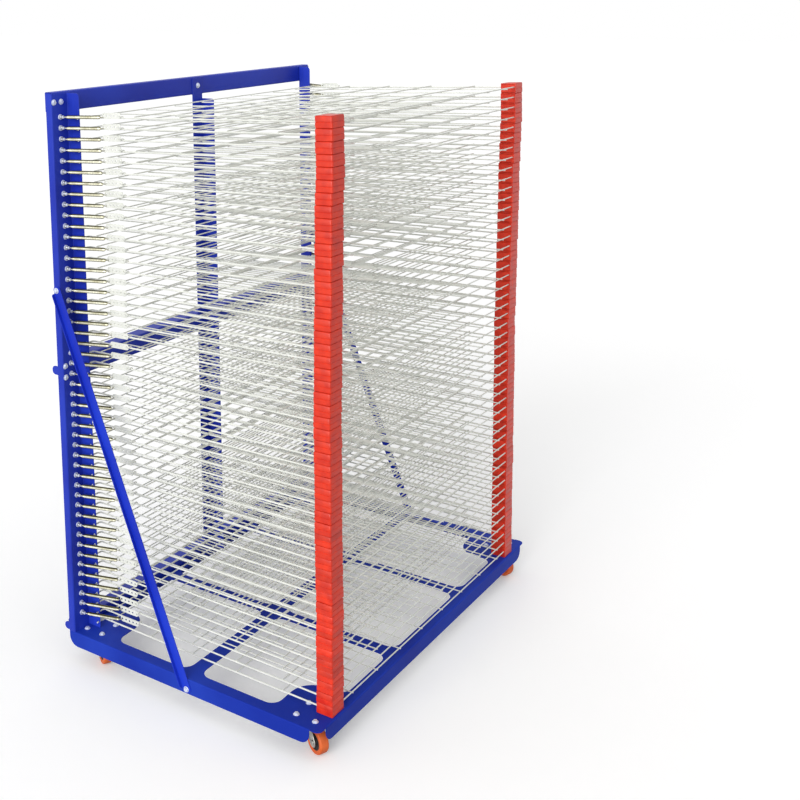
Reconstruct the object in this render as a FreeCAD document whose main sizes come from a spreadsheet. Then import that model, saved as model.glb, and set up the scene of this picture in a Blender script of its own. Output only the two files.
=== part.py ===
import FreeCAD, Part
import Sketcher
import os
import re

# A floor-standing drying rack for prints and artwork.  A pressed base on four swivel
# castors carries a tall back frame, and wire shelves hinge on the two uprights of that
# frame.  Each shelf rests on the corner spacers of the one below it.
#
# Axes: X across the rack, Y from the open front to the back frame, Z up.  The origin is
# on the floor, at the middle of the rack's outline.

doc = FreeCAD.newDocument("DryingRack")
sheet = doc.addObject("Spreadsheet::Sheet", "Sizes")

SIZES = {
    # base and back frame, bent from sheet
    "rack_width": 1030,
    "base_depth": 720,
    "base_top": 80,
    "base_skirt": 36,
    "base_corner": 14,
    "skirt_corner": 24,
    "skirt_setback": 26,
    "sheet_gauge": 2,
    "rim_width": 30,
    "base_bar": 36,
    "window_corner": 26,
    "land_width": 147,
    "front_land_depth": 134,
    "rear_land_depth": 160,
    "land_corner": 55,
    "back_height": 1298,
    "upright_drop": 4,
    "web_width": 49,
    "web_lip": 18,
    "pivot_flange": 36,
    "flange_corner": 9,
    "post_width": 42,
    "post_notch": 8,
    "rail_height": 45,
    "top_rail_depth": 20,
    "middle_rail_depth": 36,
    "middle_rail_level": 650,
    "foot_rail_height": 20,
    "foot_rail_depth": 33,
    "bolt_edge": 7,
    # braces, each an angle bolted to the side of an upright and to the base skirt
    "brace_width": 24,
    "brace_leg": 13,
    "brace_top": 844,
    "brace_reach": 356,
    "brace_foot": 24,
    "brace_overhang": 9,
    # shelves
    "shelf_gap": 16,
    "pivot_headroom": 56.25,
    "stack_growth": 0.5,
    "stack_setback": 5,
    "pivot_setback": 6.5,
    "pivot_reach": 3,
    "pivot_play": 1,
    "frame_wire": 4.4,
    "grid_wire": 3.2,
    "side_inset": 6,
    "back_bar_offset": 26,
    "grid_edge": 80,
    "spacer_width": 45,
    "spacer_depth": 40,
    "spacer_wall": 2.5,
    "spacer_play": 0.2,
    "seat_play": 0.3,
    "tab_length": 56,
    "tab_height": 14,
    "tab_gauge": 1.5,
    "tab_offset": 58,
    # counterbalance springs and the screws that hold them
    "screw_length": 12,
    "screw_size": 11,
    "screw_lift": 4,
    "spring_size": 8,
    "spring_overlap": 5,
    # castors
    "plate_size": 66,
    "plate_gauge": 3,
    "plate_inset": 54,
    "bolt_pitch": 48,
    "bolt_size": 10,
    "bolt_height": 4,
    "bolt_play": 1.5,
    "race_radius": 21,
    "race_height": 8,
    "crown_radius": 19,
    "swivel_play": 0.4,
    "wheel_radius": 28,
    "wheel_width": 22,
    "wheel_corner": 3,
    "wheel_trail": 22,
    "wheel_play": 1,
    "hub_radius": 18,
    "hub_step": 1.5,
    "axle_radius": 4,
    "axle_play": 0.05,
    "fork_gauge": 2.5,
    "fork_width": 22,
    "front_left_swing": 247,
    "front_right_swing": 255,
    "rear_left_swing": 240,
    "rear_right_swing": 250,
}
SHELVES = 50          # shelves in the stack, numbered from the bottom
HINGED_FROM = 17      # the lowest shelf that is hinged by itself
CROSS_WIRES = 6       # wires of a shelf that run across the rack
LONG_WIRES = 8        # wires of a shelf that run from front to back, between its sides

for row, (name, size) in enumerate(SIZES.items(), start=1):
    sheet.set(f"A{row}", name)
    sheet.set(f"B{row}", str(size))
    sheet.setAlias(f"B{row}", name)
doc.recompute()

# Places that several pieces share, as expressions of the sizes above.
SIDE = "(rack_width / 2)"
FRONT = "(-(base_depth + sheet_gauge + middle_rail_depth - web_lip) / 2)"
REAR = f"({FRONT} + base_depth)"
MIDDLE = f"({FRONT} + base_depth / 2)"
WEB = f"({REAR} - web_lip)"
RAIL = f"({WEB} + sheet_gauge)"
FLANGE_FRONT = f"({WEB} - pivot_flange)"
FLANGE_SIDE = f"({SIDE} - web_width)"
SCREW_SIDE = f"({SIDE} - web_width / 2)"
UPRIGHT = "(back_height - upright_drop)"
BACK_TOP = "(base_top + back_height)"
TOP_RAIL = f"({BACK_TOP} - rail_height)"
MIDDLE_RAIL = "(base_top + middle_rail_level - rail_height / 2)"
PIVOT = f"({FLANGE_FRONT} + pivot_setback)"
SHELF_PITCH = f"(({UPRIGHT} - pivot_headroom - stack_growth / 2) / ({SHELVES} - 0.5))"
STACK_PITCH = f"({SHELF_PITCH} + stack_growth)"
FIRST_LEVEL = f"({STACK_PITCH} / 2)"
LOWEST = f"(base_top + {FIRST_LEVEL})"
REACH = f"({PIVOT} - {FRONT} - stack_setback - spacer_depth / 2)"
SHELF_OUTER = f"({FLANGE_SIDE} - shelf_gap)"
SHELF_SIDE = f"({SHELF_OUTER} - side_inset)"
SHELF_EDGE = f"({SHELF_SIDE} + frame_wire / 2)"
NOSE = f"({REACH} + spacer_depth / 2 - spacer_wall - seat_play)"
SPACER = f"({STACK_PITCH} - spacer_play)"
CASTOR_SIDE = f"({SIDE} - plate_inset)"
CASTOR_REACH = "(base_depth / 2 - plate_inset)"
PLATE_TOP = "(base_top - sheet_gauge)"
RACE_FOOT = f"({PLATE_TOP} - plate_gauge - race_height)"


# ---- builders -------------------------------------------------------------------------

def bound(text):
    """An expression in which every name of a size reads its cell of the sheet."""
    def cell(word):
        return f"Sizes.{word.group()}" if word.group() in SIZES else word.group()

    return re.sub("[a-z_]+", cell, text)


def number(text):
    """The present value of an expression of sizes."""
    return float(sheet.evalExpression(bound(text)))


def bind(item, **links):
    """Ties properties of an object to expressions of the sizes."""
    for prop, text in links.items():
        item.setExpression(prop, bound(text))
    return item


def place(item, at=("0", "0", "0"), axis=(0, 0, 1), angle="0"):
    """Ties the placement of an object to expressions of the sizes."""
    turn = f"rotation(vector({axis[0]}; {axis[1]}; {axis[2]}); {angle})"
    return bind(item, Placement=f"placement(vector({'; '.join(at)}); {turn})")


def block(label, size, corner, axis=(0, 0, 1), angle="0"):
    """A box, given its size and its least corner."""
    item = doc.addObject("Part::Box", label)
    bind(item, Length=size[0], Width=size[1], Height=size[2])
    return place(item, corner, axis, angle)


def rod(label, radius, length, foot, axis=(0, 0, 1), angle="0"):
    """A cylinder, given the middle of its foot."""
    item = doc.addObject("Part::Cylinder", label)
    bind(item, Radius=radius, Height=length)
    return place(item, foot, axis, angle)


def hexagon(label, across, height, foot, axis=(0, 0, 1), angle="0"):
    """A short hexagonal bar, for a bolt head or a screw."""
    item = doc.addObject("Part::Prism", label)
    item.Polygon = 6
    bind(item, Circumradius=f"({across}) / 2", Height=height)
    return place(item, foot, axis, angle)


def joined(label, pieces):
    """Pieces welded into one solid."""
    item = doc.addObject("Part::MultiFuse", label)
    item.Shapes = pieces
    item.Refine = True
    return item


def without(label, base, tool):
    """A piece with another cut out of it."""
    item = doc.addObject("Part::Cut", label)
    item.Base = base
    item.Tool = tool
    item.Refine = True
    return item


def rounded(label, base, radius_of):
    """A piece with edges rounded off, where radius_of gives an edge's radius or None."""
    doc.recompute()
    item = doc.addObject("Part::Fillet", label)
    item.Base = base
    radii = [(n, radius_of(edge)) for n, edge in enumerate(base.Shape.Edges, start=1)]
    item.Edges = [(n, number(radius), number(radius)) for n, radius in radii if radius]
    return item


def eased(label, base, rim, width):
    """A turned piece with a straight chamfer on the edges of its rim."""
    doc.recompute()
    item = doc.addObject("Part::Chamfer", label)
    item.Base = base
    radius, size = number(rim), number(width)
    round_edges = [(n, edge.Curve) for n, edge in enumerate(base.Shape.Edges, start=1)
                   if isinstance(edge.Curve, Part.Circle)]
    item.Edges = [(n, size, size) for n, circle in round_edges if abs(circle.Radius - radius) < 0.01]
    return item


def group(label, pieces):
    """Separate solids kept as one named sub-part."""
    item = doc.addObject("Part::Compound", label)
    item.Links = pieces
    return item


def runs(edge, axis):
    """Does a straight edge run along an axis?"""
    ends = [vertex.Point for vertex in edge.Vertexes]
    return len(ends) == 2 and abs(abs((ends[1] - ends[0]).normalize().dot(axis)) - 1) < 1e-6


X_AXIS, Y_AXIS, Z_AXIS = (FreeCAD.Vector(*row) for row in ((1, 0, 0), (0, 1, 0), (0, 0, 1)))


def origin_feature(body, role):
    return next(item for item in body.Origin.OriginFeatures if item.Role == role)


def outline(body, label, plane, points):
    """A closed sketch whose corners are each tied to expressions of the sizes."""
    sketch = body.newObject("Sketcher::SketchObject", label)
    sketch.AttachmentSupport = [(origin_feature(body, plane), "")]
    sketch.MapMode = "FlatFace"
    corners = [FreeCAD.Vector(number(x), number(y), 0) for x, y in points]
    for start, end in zip(corners, corners[1:] + corners[:1]):
        sketch.addGeometry(Part.LineSegment(start, end))
    for n in range(len(points)):
        sketch.addConstraint(Sketcher.Constraint("Coincident", n, 2, (n + 1) % len(points), 1))
    for n, (x, y) in enumerate(points):
        for kind, text in (("DistanceX", x), ("DistanceY", y)):
            which = sketch.addConstraint(Sketcher.Constraint(kind, -1, 1, n, 1, number(text)))
            sketch.setExpression(f"Constraints[{which}]", bound(text))
    return sketch


def pad(body, label, sketch, length, both_ways=False):
    """A profile drawn out to a length."""
    item = body.newObject("PartDesign::Pad", label)
    item.Profile = sketch
    item.Midplane = both_ways
    return bind(item, Length=length)


# ---- base -----------------------------------------------------------------------------

def window(label, x, y, land):
    """The cutter for one opening of the base, between its rims and bars; land is the
    direction of the corner that stays solid over a castor, or None."""
    width = "((rack_width - 2 * rim_width - 2 * base_bar) / 3)"
    depth = "((base_depth - 2 * rim_width - base_bar) / 2)"
    centre_x = f"({x} * ({width} + base_bar))"
    centre_y = f"({MIDDLE} + {y} * ({depth} + base_bar) / 2)"
    low = f"({PLATE_TOP} - sheet_gauge)"
    opening = block(label, (width, depth, "3 * sheet_gauge"),
                    (f"{centre_x} - {width} / 2", f"{centre_y} - {depth} / 2", low))
    inner = None
    if land:
        land_depth = "rear_land_depth" if y > 0 else "front_land_depth"
        corner_x = f"({x} * ({SIDE} - land_width))"
        corner_y = f"({MIDDLE} + {y} * (base_depth / 2 - {land_depth}))"
        inner = (number(corner_x), number(corner_y))
        least_x = corner_x if x > 0 else f"({corner_x} - land_width)"
        least_y = corner_y if y > 0 else f"({corner_y} - {land_depth})"
        solid = block(f"{label}_land", ("land_width", land_depth, "3 * sheet_gauge"),
                      (least_x, least_y, low))
        opening = without(f"{label}_cut", opening, solid)

    def radius_of(edge):
        if not runs(edge, Z_AXIS):
            return None
        point = edge.Vertexes[0].Point
        at_land = inner and abs(point.x - inner[0]) < 0.01 and abs(point.y - inner[1]) < 0.01
        return "land_corner" if at_land else "window_corner"

    return rounded(f"{label}_rounded", opening, radius_of)


def skirt(label, size, corner, across):
    """A downturned edge of the base, with its lower corners rounded off."""
    flat = block(label, size, corner)
    foot = number("base_top - base_skirt")

    def radius_of(edge):
        low = all(abs(vertex.Point.z - foot) < 0.01 for vertex in edge.Vertexes)
        return "skirt_corner" if low and runs(edge, across) else None

    return rounded(f"{label}_rounded", flat, radius_of)


def base_pan():
    plate = block("base_plate", ("rack_width", "base_depth", "sheet_gauge"), (f"-{SIDE}", FRONT, PLATE_TOP))
    front = number(FRONT)

    def front_corner(edge):
        return "base_corner" if runs(edge, Z_AXIS) and abs(edge.Vertexes[0].Point.y - front) < 0.01 else None

    plate = rounded("base_plate_rounded", plate, front_corner)
    for x in (-1, 0, 1):
        for y in (-1, 1):
            tool = window(f"window_{x + 1}_{(y + 1) // 2}", x, y, land=x != 0)
            plate = without(f"base_plate_{x + 1}_{(y + 1) // 2}", plate, tool)
    foot = "base_top - base_skirt"
    side_size = ("sheet_gauge", "base_depth - skirt_setback", "base_skirt")
    end_size = ("rack_width - 2 * skirt_setback", "sheet_gauge", "base_skirt")
    skirts = [
        skirt("skirt_left", side_size, (f"-{SIDE}", f"{FRONT} + skirt_setback", foot), X_AXIS),
        skirt("skirt_right", side_size, (f"{SIDE} - sheet_gauge", f"{FRONT} + skirt_setback", foot), X_AXIS),
        skirt("skirt_front", end_size, (f"-{SIDE} + skirt_setback", FRONT, foot), Y_AXIS),
        skirt("skirt_rear", end_size, (f"-{SIDE} + skirt_setback", f"{REAR} - sheet_gauge", foot), Y_AXIS),
    ]
    return joined("base_pan", [plate] + skirts)


# ---- back frame -----------------------------------------------------------------------

def upright(label, side):
    """A bent section: an outer lip to the rear, a web to the front, and an inner flange
    that runs forward and holds the pivots of the shelves."""
    body = doc.addObject("PartDesign::Body", label)
    inner = f"({FLANGE_SIDE} - sheet_gauge)"
    lip = f"({SIDE} - sheet_gauge)"
    section = [(SIDE, REAR), (SIDE, WEB), (FLANGE_SIDE, WEB), (FLANGE_SIDE, FLANGE_FRONT),
               (inner, FLANGE_FRONT), (inner, RAIL), (lip, RAIL), (lip, REAR)]
    profile = outline(body, f"{label}_section", "XY_Plane", [(f"{side} * {x}", y) for x, y in section])
    length = pad(body, f"{label}_length", profile, UPRIGHT)

    half = "((frame_wire + 2 * pivot_play) / 2)"
    square = [(f"{PIVOT} - {half}", f"{FIRST_LEVEL} - {half}"), (f"{PIVOT} + {half}", f"{FIRST_LEVEL} - {half}"),
              (f"{PIVOT} + {half}", f"{FIRST_LEVEL} + {half}"), (f"{PIVOT} - {half}", f"{FIRST_LEVEL} + {half}")]
    hole = body.newObject("PartDesign::Pocket", f"{label}_pivot_hole")
    hole.Profile = outline(body, f"{label}_pivot", "YZ_Plane", square)
    hole.Reversed = side > 0
    bind(hole, Length=SIDE)
    row = body.newObject("PartDesign::LinearPattern", f"{label}_pivot_row")
    row.Originals = [hole]
    row.Direction = (origin_feature(body, "Z_Axis"), [""])
    row.Occurrences = SHELVES
    bind(row, Length=f"{SHELVES - 1} * {SHELF_PITCH}")
    body.Tip = row
    doc.recompute()
    top, front = number(UPRIGHT), number(FLANGE_FRONT)

    def at_corner(edge):
        point = edge.Vertexes[0].Point
        return runs(edge, X_AXIS) and abs(point.z - top) < 0.01 and abs(point.y - front) < 0.01

    corner = body.newObject("PartDesign::Fillet", f"{label}_corner")
    corner.Base = (row, [f"Edge{n}" for n, edge in enumerate(row.Shape.Edges, start=1) if at_corner(edge)])
    bind(corner, Radius="flange_corner")
    body.Tip = corner
    return place(body, ("0", "0", "base_top"))


def centre_post():
    """An angle behind the shelves: a web bolted to the rails and a flange to the front."""
    body = doc.addObject("PartDesign::Body", "centre_post")
    half = "(post_width / 2)"
    web = [(f"-{half}", WEB), (half, WEB), (half, RAIL), (f"-{half}", RAIL)]
    rib = f"({half} - sheet_gauge)"
    flange = [(rib, FLANGE_FRONT), (half, FLANGE_FRONT), (half, RAIL), (rib, RAIL)]
    pad(body, "post_web", outline(body, "post_web_section", "XY_Plane", web), UPRIGHT)
    pad(body, "post_flange", outline(body, "post_flange_section", "XY_Plane", flange),
        f"{UPRIGHT} - rail_height - post_notch")
    return place(body, ("0", "0", "base_top"))


def rail(label, level, height, depth):
    """A channel between the lips of the uprights, open to the rear."""
    body = doc.addObject("PartDesign::Body", label)
    back, inside = f"({RAIL} + {depth})", f"({RAIL} + sheet_gauge)"
    section = [(RAIL, "0"), (back, "0"), (back, "sheet_gauge"), (inside, "sheet_gauge"),
               (inside, f"{height} - sheet_gauge"), (back, f"{height} - sheet_gauge"), (back, height),
               (RAIL, height)]
    profile = outline(body, f"{label}_section", "YZ_Plane", section)
    pad(body, f"{label}_length", profile, "rack_width - 2 * sheet_gauge", both_ways=True)
    return place(body, ("0", "0", level))


BRACE_TOP_Y = f"({WEB} + web_lip / 2)"
BRACE_FOOT_Y = f"({BRACE_TOP_Y} - brace_reach)"
BRACE_RISE = "(brace_top + brace_foot)"
BRACE_LEAN = f"atan(brace_reach / {BRACE_RISE})"


def brace(label, side):
    """An angle with one leg flat on the rack's side and the other standing out."""
    body = doc.addObject("PartDesign::Body", label)
    half = "(brace_width / 2)"
    section = [("0", f"-{half}"), ("sheet_gauge", f"-{half}"), ("sheet_gauge", f"{half} - sheet_gauge"),
               ("brace_leg", f"{half} - sheet_gauge"), ("brace_leg", half), ("0", half)]
    profile = outline(body, f"{label}_section", "XY_Plane", [(f"{side} * {x}", y) for x, y in section])
    span = f"(sqrt(brace_reach ^ 2 + {BRACE_RISE} ^ 2))"
    pad(body, f"{label}_length", profile, f"{span} + 2 * brace_overhang")
    start_y = f"{BRACE_FOOT_Y} - brace_overhang * sin({BRACE_LEAN})"
    start_z = f"base_top - brace_foot - brace_overhang * cos({BRACE_LEAN})"
    return place(body, (f"{side} * {SIDE}", start_y, start_z), (-1, 0, 0), BRACE_LEAN)


def head(label, at, facing):
    """A bolt head that stands on a face."""
    turn = {"up": ((0, 0, 1), "0"), "front": ((1, 0, 0), "90"), "left": ((0, -1, 0), "90"),
            "right": ((0, 1, 0), "90")}[facing]
    return hexagon(label, "bolt_size", "bolt_height", at, *turn)


def frame_bolts():
    heads = []
    for side, facing in ((-1, "left"), (1, "right")):
        inner_x = f"{side} * ({FLANGE_SIDE} + 2 * web_width / 5)"
        outer_x = f"{side} * ({SIDE} - bolt_edge)"
        brace_x = f"{side} * ({SIDE} + sheet_gauge)"
        heads += [
            head(f"top_bolt_{facing}_inner", (inner_x, WEB, f"{TOP_RAIL} + rail_height / 2"), "front"),
            head(f"top_bolt_{facing}_outer", (outer_x, WEB, f"{TOP_RAIL} + rail_height / 2"), "front"),
            head(f"rail_bolt_{facing}_high", (outer_x, WEB, f"{MIDDLE_RAIL} + 0.8 * rail_height"), "front"),
            head(f"rail_bolt_{facing}_low", (outer_x, WEB, f"{MIDDLE_RAIL} + 0.2 * rail_height"), "front"),
            head(f"brace_bolt_{facing}_high", (brace_x, BRACE_TOP_Y, "base_top + brace_top"), facing),
            head(f"brace_bolt_{facing}_low", (brace_x, BRACE_FOOT_Y, "base_top - brace_foot"), facing),
        ]
    heads.append(head("post_bolt", ("0", WEB, f"{TOP_RAIL} + rail_height / 2"), "front"))
    return group("frame_bolts", heads)


# ---- shelves --------------------------------------------------------------------------
# A shelf is drawn about its own pivot axis, which is the X axis, with its nose towards
# the front.  The same pieces are placed again for every shelf.

def side_wire(label, side):
    """A side of the shelf, with its rear end turned outwards as the pivot."""
    half = "(frame_wire / 2)"
    least = f"{side} * {SHELF_SIDE} - {half}"
    straight = block(f"{label}_run", ("frame_wire", f"{NOSE} + {half}", "frame_wire"),
                     (least, f"-{NOSE}", f"-{half}"))
    reach = f"({FLANGE_SIDE} + pivot_reach - {SHELF_SIDE} + {half})"
    start = least if side > 0 else f"-({FLANGE_SIDE} + pivot_reach)"
    pin = block(f"{label}_pin", (reach, "frame_wire", "frame_wire"), (start, f"-{half}", f"-{half}"))
    return joined(label, [straight, pin])


def shelf_wires():
    first = "back_bar_offset"
    last = f"({NOSE} - grid_wire / 2)"
    spacing = f"(2 * ({SHELF_SIDE} - grid_edge) / {LONG_WIRES - 1})"
    wires = [side_wire("side_wire_left", -1), side_wire("side_wire_right", 1)]
    for n in range(LONG_WIRES):
        x = f"{n - (LONG_WIRES - 1) / 2} * {spacing} - grid_wire / 2"
        wires.append(block(f"long_wire_{n}", ("grid_wire", f"{NOSE} - {first} + grid_wire / 2", "grid_wire"),
                           (x, f"-{NOSE}", "frame_wire / 2 - grid_wire")))
    for n in range(CROSS_WIRES):
        y = f"-({first} + {n} * ({last} - {first}) / {CROSS_WIRES - 1}) - grid_wire / 2"
        wires.append(block(f"cross_wire_{n}", (f"2 * {SHELF_EDGE}", "grid_wire", "grid_wire"),
                           (f"-{SHELF_EDGE}", y, "frame_wire / 2")))
    return wires


def spacer(label, side):
    """A corner block that is open to the rear and to the middle of the rack."""
    inner = f"({SHELF_OUTER} - spacer_width)"
    back = f"({REACH} - spacer_depth / 2)"
    least = inner if side > 0 else f"-{SHELF_OUTER}"
    shell = block(f"{label}_shell", ("spacer_width", "spacer_depth", SPACER),
                  (least, f"-({back} + spacer_depth)", f"-{SPACER} / 2"))
    inside = f"{inner} - spacer_wall" if side > 0 else f"-({SHELF_OUTER} - spacer_wall)"
    hollow = block(f"{label}_hollow", ("spacer_width", "spacer_depth", f"{SPACER} - 2 * spacer_wall"),
                   (inside, f"-({back} + spacer_depth - spacer_wall)", f"-{SPACER} / 2 + spacer_wall"))
    return without(label, shell, hollow)


def over_bolt(label, piece, side):
    """A spacer of the lowest shelf, with room in its floor for the castor bolt under it."""
    room = "(bolt_size + 2 * bolt_play)"
    x = f"{side} * ({CASTOR_SIDE} - bolt_pitch / 2) - {room} / 2"
    y = f"{MIDDLE} - {CASTOR_REACH} - bolt_pitch / 2 - {PIVOT} - {room} / 2"
    hole = block(f"{label}_hole", (room, room, "bolt_height + 2 * bolt_play"),
                 (x, y, f"base_top - {LOWEST} - bolt_play"))
    return without(label, piece, hole)


def tab(label, side):
    """The plate on a side wire that the spring hooks into."""
    least = SHELF_EDGE if side > 0 else f"-({SHELF_EDGE} + tab_gauge)"
    return block(label, ("tab_gauge", "tab_length", "tab_height"),
                 (least, "-(tab_offset + tab_length)", "-frame_wire / 2"))


def pivot_level(n):
    """The height of the pivots of shelf n."""
    return f"({LOWEST} + {n - 1} * {SHELF_PITCH})"


def hung(label, pieces, n):
    """Pieces of a shelf, hung on the pivots of shelf n.  The spacers are a little
    thicker than the pitch of the pivots, so the shelves rise more towards the top."""
    lean = f"asin({n - 1} * stack_growth / {REACH})"
    return place(group(label, pieces), ("0", PIVOT, pivot_level(n)), (-1, 0, 0), lean)


def shelves():
    wires = shelf_wires()
    spacers = [spacer("spacer_left", -1), spacer("spacer_right", 1)]
    tabs = [tab("tab_left", -1), tab("tab_right", 1)]
    lowest = [over_bolt("lowest_spacer_left", spacers[0], -1), over_bolt("lowest_spacer_right", spacers[1], 1)]
    lower = range(2, HINGED_FROM)
    nodes = [
        hung("bottom_shelf", wires + lowest, 1),
        group("lower_shelf_grids", [hung(f"lower_grid_{n}", wires, n) for n in lower]),
        group("lower_shelf_spacers", [hung(f"lower_spacers_{n}", spacers, n) for n in lower]),
        group("lower_shelf_tabs", [hung(f"lower_tabs_{n}", tabs, n) for n in lower]),
    ]
    for n in range(HINGED_FROM, SHELVES + 1):
        nodes.append(hung(f"shelf_{n:02d}", wires + spacers + tabs, n))
    return nodes


# ---- springs --------------------------------------------------------------------------

def spring_screws():
    screws = []
    for n in range(2, SHELVES + 1):
        for side, name in ((-1, "left"), (1, "right")):
            foot = (f"{side} * {SCREW_SIDE}", WEB, f"{pivot_level(n)} + screw_lift")
            screws.append(hexagon(f"screw_{name}_{n}", "screw_size", "screw_length", foot, (1, 0, 0), "90"))
    return group("spring_screws", screws)


def shelf_springs():
    """A straight bar along each spring, from its screw to the tab of its shelf."""
    tab_x = f"({SHELF_EDGE} + tab_gauge + seat_play + spring_size / 2)"
    start_y = f"({WEB} - screw_length - seat_play)"
    end_y = f"({PIVOT} - tab_offset - spring_overlap)"
    side_step = f"({SCREW_SIDE} - {tab_x})"
    run = f"({start_y} - {end_y})"
    length = f"sqrt({side_step} ^ 2 + {run} ^ 2) - spring_size / 2 * {side_step} / {run}"
    springs = []
    for n in range(2, SHELVES + 1):
        for side, name in ((-1, "left"), (1, "right")):
            bar = block(f"spring_{name}_{n}", ("spring_size", length, "spring_size"),
                        ("-spring_size / 2", "0", "-spring_size / 2"))
            laid = group(f"spring_{name}_{n}_laid", [bar])
            at = (f"{side} * {tab_x}", end_y, f"{pivot_level(n)} + screw_lift")
            springs.append(place(laid, at, (0, 0, -side), f"atan({side_step} / {run})"))
    return group("shelf_springs", springs)


# ---- castors --------------------------------------------------------------------------

CASTORS = {"front_left": (-1, -1), "front_right": (1, -1), "rear_left": (-1, 1), "rear_right": (1, 1)}


def castor_centre(name):
    x, y = CASTORS[name]
    return f"{x} * {CASTOR_SIDE}", f"{MIDDLE} + {y} * {CASTOR_REACH}"


def castor_plates():
    plates = []
    for name in CASTORS:
        x, y = castor_centre(name)
        flat = block(f"{name}_plate", ("plate_size", "plate_size", "plate_gauge"),
                     (f"{x} - plate_size / 2", f"{y} - plate_size / 2", f"{PLATE_TOP} - plate_gauge"))
        race = rod(f"{name}_race", "race_radius", "race_height", (x, y, RACE_FOOT))
        plates.append(joined(f"{name}_plate_and_race", [flat, race]))
    return group("castor_plates", plates)


def castor_bolts():
    heads = []
    for name in CASTORS:
        x, y = castor_centre(name)
        for n, (along, across) in enumerate(((-1, -1), (1, -1), (-1, 1), (1, 1))):
            at = (f"{x} + {along} * bolt_pitch / 2", f"{y} + {across} * bolt_pitch / 2", "base_top")
            heads.append(head(f"{name}_bolt_{n}", at, "up"))
    return group("castor_bolts", heads)


CROWN_TOP = f"({RACE_FOOT} - swivel_play)"
WHEEL_GAP = "(wheel_width / 2 + wheel_play)"


def fork_leg(label, side):
    """A leg of a fork, sloping from the crown back to the axle."""
    body = doc.addObject("PartDesign::Body", label)
    half = "(fork_width / 2)"
    shape = [(f"-{half}", CROWN_TOP), (half, CROWN_TOP), (f"wheel_trail + {half}", "wheel_radius"),
             (f"wheel_trail + {half} / 2", f"wheel_radius - {half}"),
             (f"wheel_trail - {half} / 2", f"wheel_radius - {half}"), (f"-{half}", f"{CROWN_TOP} - {half}")]
    profile = outline(body, f"{label}_outline", "XZ_Plane", shape)
    pad(body, f"{label}_plate", profile, "fork_gauge", both_ways=True)
    return place(body, ("0", f"{side} * ({WHEEL_GAP} + fork_gauge / 2)", "0"))


def castor_fork(name):
    """A crown under the ball race, two legs and the axle riveted between them."""
    crown = rod(f"{name}_crown", "crown_radius", "fork_gauge", ("0", "0", f"{CROWN_TOP} - fork_gauge"))
    legs = [fork_leg(f"{name}_leg_near", -1), fork_leg(f"{name}_leg_far", 1)]
    reach = f"({WHEEL_GAP} + fork_gauge + sheet_gauge)"
    axle = rod(f"{name}_axle", "axle_radius", f"2 * {reach}", ("wheel_trail", reach, "wheel_radius"),
               (1, 0, 0), "90")
    fork = joined(f"{name}_fork_pieces", [crown] + legs + [axle])
    x, y = castor_centre(name)
    return place(group(f"castor_fork_{name}", [fork]), (x, y, "0"), (0, 0, 1), f"{name}_swing")


def castor_wheel(name):
    """A soft tyre on a hub that turns on the axle."""
    def ring(label, outer, inner, width):
        foot = ("wheel_trail", f"{width} / 2", "wheel_radius")
        return without(label, rod(f"{label}_outer", outer, width, foot, (1, 0, 0), "90"),
                       rod(f"{label}_inner", inner, width, foot, (1, 0, 0), "90"))

    tyre = eased(f"{name}_tyre", ring(f"{name}_tyre_ring", "wheel_radius", "hub_radius", "wheel_width"),
                 "wheel_radius", "wheel_corner")
    hub = ring(f"{name}_hub", "hub_radius", "(axle_radius + axle_play)", "(wheel_width - 2 * hub_step)")
    x, y = castor_centre(name)
    return place(group(f"castor_wheel_{name}", [tyre, hub]), (x, y, "0"), (0, 0, 1), f"{name}_swing")


# ---- the rack -------------------------------------------------------------------------

nodes = [
    base_pan(),
    upright("left_upright", -1),
    upright("right_upright", 1),
    centre_post(),
    rail("top_rail", TOP_RAIL, "rail_height", "top_rail_depth"),
    rail("middle_rail", MIDDLE_RAIL, "rail_height", "middle_rail_depth"),
    rail("foot_rail", "base_top", "foot_rail_height", "foot_rail_depth"),
    brace("left_brace", -1),
    brace("right_brace", 1),
    frame_bolts(),
    spring_screws(),
    shelf_springs(),
    castor_plates(),
    castor_bolts(),
]
nodes += shelves()
for castor in CASTORS:
    nodes += [castor_fork(castor), castor_wheel(castor)]
doc.recompute()

for item in doc.Objects:
    if "Invalid" in item.State or "Error" in item.State:
        raise RuntimeError(f"{item.Label} did not build")
for node in nodes:
    if node.Shape.isNull() or not node.Shape.isValid():
        raise RuntimeError(f"{node.Label} has no valid shape")

os.makedirs("parts", exist_ok=True)
for node in nodes:
    node.Shape.exportStep(f"parts/{node.Label}.step")
print(len(nodes), "nodes,", sum(len(node.Shape.Solids) for node in nodes), "solids")
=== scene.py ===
# %% [markdown]
# # A drying rack for prints, made piece by piece
#
# A print shop lays wet prints on a stack of wire shelves until the ink is dry. The rack in
# this lesson has a pressed base on four castors, a tall back frame bent from sheet, and
# fifty wire shelves that hinge on it. Small springs at the back hold a lifted shelf up, and
# plastic corner spacers at the front keep the shelves apart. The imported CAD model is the
# fixed frame: every piece made here is drawn in millimetres where the CAD has it.

# %% Load the frame
import math
import random

import bpy
import numpy as np
from mathutils import Matrix, Vector
from mathutils.geometry import delaunay_2d_cdt


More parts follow.
